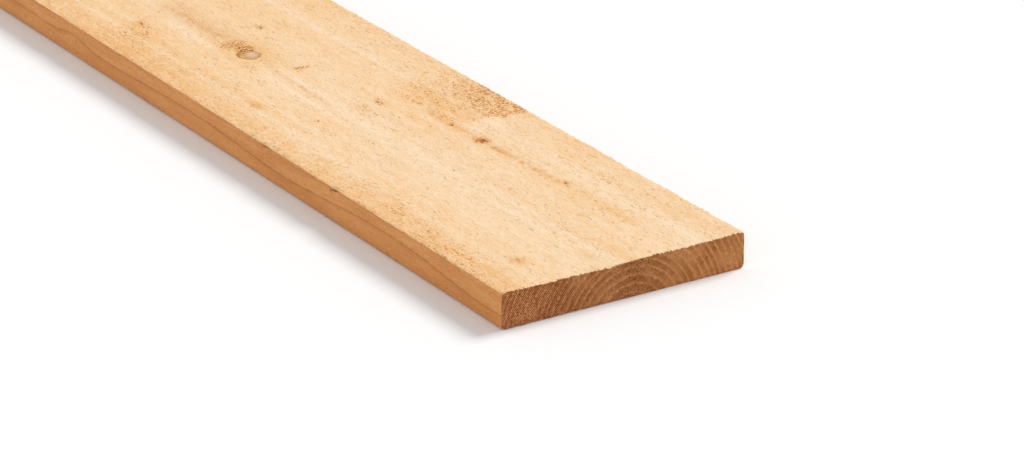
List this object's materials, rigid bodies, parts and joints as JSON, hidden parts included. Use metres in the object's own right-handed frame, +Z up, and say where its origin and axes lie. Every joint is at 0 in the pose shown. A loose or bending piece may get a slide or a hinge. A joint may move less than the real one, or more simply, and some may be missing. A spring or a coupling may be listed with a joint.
{
  "type": "timber plank",
  "caption": "Straight softwood board with a rough sawn upper face, planed edges and underside, eased lower corners and square-cut ends, for decks, shelves, fences and cladding.",
  "frame": {"origin": "on the planed underside, at the middle of the length and the width", "axes": "+X along the length, +Y across the width, +Z up through the thickness, out of the sawn face"},
  "size_m": [1.829, 0.184, 0.025],
  "materials": {
    "softwood": "bare softwood, rough sawn on the upper face and planed on the edges and underside"
  },
  "bodies": {
    "root": {"plank": "softwood"}
  },
  "joints": []
}
